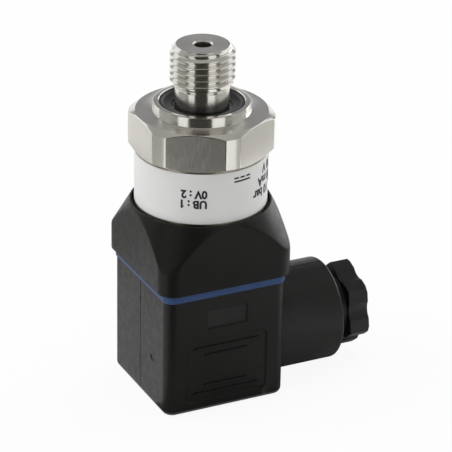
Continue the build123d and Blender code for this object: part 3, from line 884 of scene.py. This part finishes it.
sunk_panel(SMALL_PANEL_WIDE, SMALL_PANEL_TALL, SMALL_PANEL_AT, 0.3)
sunk_panel(18.2, 14.0, 9.3, 1.6)
for wide, level in ((LONG_RIB, 14.48), (SHORT_RIB, 12.73), (SHORT_RIB, 5.87), (LONG_RIB, 4.12)):
    panel_rib(wide, level)

# the raised line that the two halves of the mould leave, and the mark of the gate
for low, high in (((-PLUG_HALF - 0.045, -0.26, 1.4), (-PLUG_HALF + 0.3, -0.14, 25.5)),
                  ((PLUG_HALF + 0.2, -SEAM_HALF, 2 * BARREL_R - 0.4),
                   (BARREL_END - 0.7, SEAM_HALF, 2 * BARREL_R + 0.05))):
    carve(housing, block("mould_seam", low, high), 'UNION')
gate = block("gate_mark", (-PLUG_HALF - 0.2, -7.3, 10.2), (-PLUG_HALF + 0.12, -5.3, 11.3))
round_edges(gate, lambda middle, way: abs(way.x) > 0.9, 0.4, 4)
carve(housing, gate)
# the nut's own nylon, a shade paler and glossier; the barrel's faces take it too, as a painted sheen
nut_nylon_and_barrel_sheen = black_nylon("nut_nylon_and_barrel_sheen", (0.0085, 0.0085, 0.0080), 0.42, 0.36)
housing.data.materials.append(black_nylon("plug_nylon", (0.0060, 0.0059, 0.0054), 0.42, 0.28))
housing.data.materials.append(black_nylon("grained_nylon", (0.0105, 0.0105, 0.0100), 0.56, 0.36))
housing.data.materials.append(nut_nylon_and_barrel_sheen)
bpy.ops.object.mode_set(mode='EDIT')
pick(housing, 'FACE', lambda middle, way: abs(middle.y + PLUG_HALF - PANEL_DEEP) < 0.02
     and abs(middle.z - SMALL_PANEL_AT) < SMALL_PANEL_TALL / 2)
housing.active_material_index = 1
bpy.ops.object.material_slot_assign()
# the barrel's faces past the plug get the nut's paler nylon: a painted sheen for the soft highlight along the
# barrel
pick(housing, 'FACE', lambda middle, way: middle.x > PLUG_HALF + 0.1)
housing.active_material_index = 2
bpy.ops.object.material_slot_assign()
bpy.ops.object.mode_set(mode='OBJECT')
smooth(housing, 32, weighted=True)
place_piece(housing, "plug", "black_plastic", "plug_housing")

# Contact block and its clamp screws: grey-black moulded nylon with four pockets, held in the plug above
# the wiring space. Each spring contact is clamped from below by a slotted screw.


def plated_steel(name, colour, dark, roughness):
    """Zinc-plated steel: bluish grey, softly shining, with faint clouds from the bath."""
    made, nodes, links, shader, place = new_finish(name, colour, roughness, metal=1.0)
    clouds = noise(nodes, links, place, 520, 4.0)
    links.new(blend_colours(nodes, links, clouds, dark, colour), shader.inputs["Base Color"])
    links.new(spread(nodes, links, clouds, roughness - 0.06, roughness + 0.08), shader.inputs["Roughness"])
    relief(nodes, links, shader, noise(nodes, links, place, 3600, 3.0), 0.004)
    return made


zinc_plated = plated_steel("zinc_plated", (0.58, 0.60, 0.62), (0.48, 0.50, 0.53), 0.34)
insert_nylon = black_nylon("insert_nylon", (0.045, 0.045, 0.048), 0.5, 0.3)
finish_node("contact_insert", insert_nylon)
finish_node("terminal_screws", zinc_plated)

# Long fixing screw through the whole plug, zinc-plated, with a cylindrical slotted head sunk in the cover
# and a rubber ring under it that keeps the water out.
finish_node("fixing_screw", zinc_plated)
finish_node("screw_ring", black_rubber)

# Gland: a soft rubber grommet and a plastic pressure ring lie in the barrel, and the nut presses them
# together round the cable. The nut is black nylon, a hexagon with a hollow flute down each flat.
NUT_LOW, NUT_HIGH, NUT_SHANK_R, NUT_SHANK_LOW = 31.3, 35.7, 8.0, 22.35
NUT_CORNER_R, NUT_FLAT, NUT_BORE_R, NUT_TURN = 9.24, 8.0, 4.8, 19.7
NUT_UNDERCUT_R, NUT_BEVEL = 7.0, 0.16
FLUTE_R, FLUTE_OUT = 3.22, 10.67

finish_node("gland_grommet", black_rubber)
finish_node("gland_ring", insert_nylon)

nut_ways = [Vector((0, -math.sin(math.radians(60 * k + NUT_TURN)), math.cos(math.radians(60 * k + NUT_TURN))))
            for k in range(6)]
nut = turn("nut", [(NUT_BORE_R, NUT_LOW), (NUT_CORNER_R, NUT_LOW), (NUT_CORNER_R, NUT_HIGH - 0.3),
                   (NUT_CORNER_R - 0.4, NUT_HIGH), (NUT_BORE_R + 0.3, NUT_HIGH), (NUT_BORE_R, NUT_HIGH - 0.3),
                   (NUT_BORE_R, NUT_LOW)], steps=120, along='X', height=BARREL_R)
mill(nut, nut_ways, [NUT_FLAT] * 6, centre=(0, 0, BARREL_R))
for way in nut_ways:
    flute = turn("flute", [(0, NUT_LOW - 1), (FLUTE_R, NUT_LOW - 1), (FLUTE_R, NUT_HIGH + 1),
                           (0, NUT_HIGH + 1)], steps=72, along='X')
    flute.location = (Vector((0, 0, BARREL_R)) + way * FLUTE_OUT) * MM
    take(flute)
    bpy.ops.object.transform_apply(location=True, rotation=False, scale=False)
    carve(nut, flute)
apply(nut, 'BEVEL', width=NUT_BEVEL * MM, segments=2, limit_method='ANGLE', angle_limit=math.radians(35))
shank = turn("nut_shank", [(NUT_BORE_R, NUT_SHANK_LOW), (NUT_SHANK_R - 0.3, NUT_SHANK_LOW),
                           (NUT_SHANK_R, NUT_SHANK_LOW + 0.3), (NUT_SHANK_R, BARREL_END - 0.4),
                           (NUT_UNDERCUT_R, BARREL_END + 0.4), (NUT_UNDERCUT_R, NUT_LOW + 0.3),
                           (NUT_BORE_R, NUT_LOW + 0.3), (NUT_BORE_R, NUT_SHANK_LOW)],
             steps=120, along='X', height=BARREL_R)
carve(nut, shank, 'UNION')
nut.data.materials.append(nut_nylon_and_barrel_sheen)
smooth(nut, 35, weighted=True)
place_piece(nut, "nut", "black_plastic", "gland_nut")
